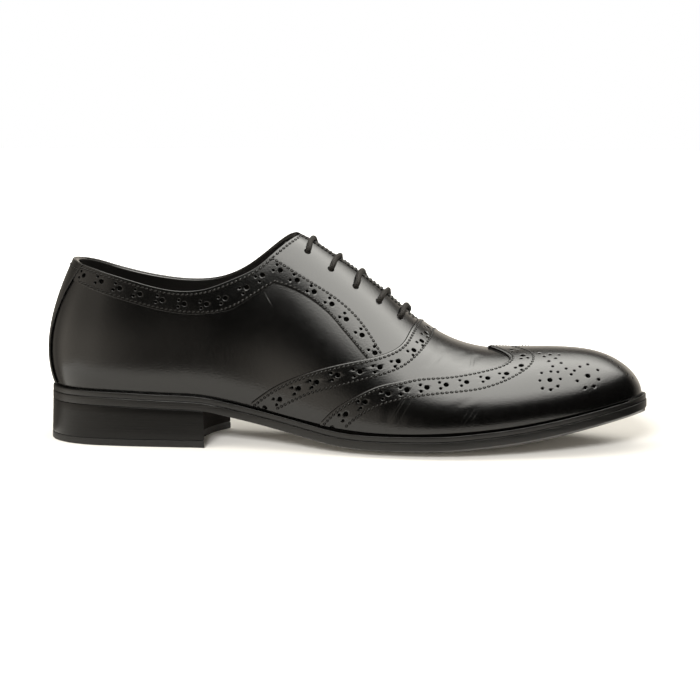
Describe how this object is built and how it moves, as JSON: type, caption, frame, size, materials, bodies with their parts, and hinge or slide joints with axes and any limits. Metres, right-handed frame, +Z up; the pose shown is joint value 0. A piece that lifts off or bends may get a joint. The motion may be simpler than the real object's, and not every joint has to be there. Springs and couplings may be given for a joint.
{
  "type": "brogue shoe",
  "caption": "Black calf wingtip brogue oxford, right shoe, with closed lacing, punched overlays, welted sole and stacked heel, standing empty",
  "frame": {"origin": "on the floor under the sole, at the middle of the shoe's length and width", "axes": "+X towards the toe, +Y towards the inner side of the foot, +Z up"},
  "size_m": [0.3035, 0.1039, 0.1058],
  "materials": {
    "calf": "polished box calf",
    "lace_cord": "waxed round cotton cord",
    "insole_leather": "smooth lining leather",
    "sole_leather": "inked and waxed edge",
    "heel_leather": "stacked lifts, inked and waxed",
    "heel_rubber": "moulded rubber"
  },
  "bodies": {
    "root": {"upper": "calf", "vamp": "calf", "wingtip": "calf", "back_strip": "calf", "tongue": "calf", "lace": "lace_cord", "insole": "insole_leather", "welt": "sole_leather", "outsole": "sole_leather", "heel_block": "heel_leather", "heel_top_piece": "heel_rubber"}
  },
  "joints": []
}
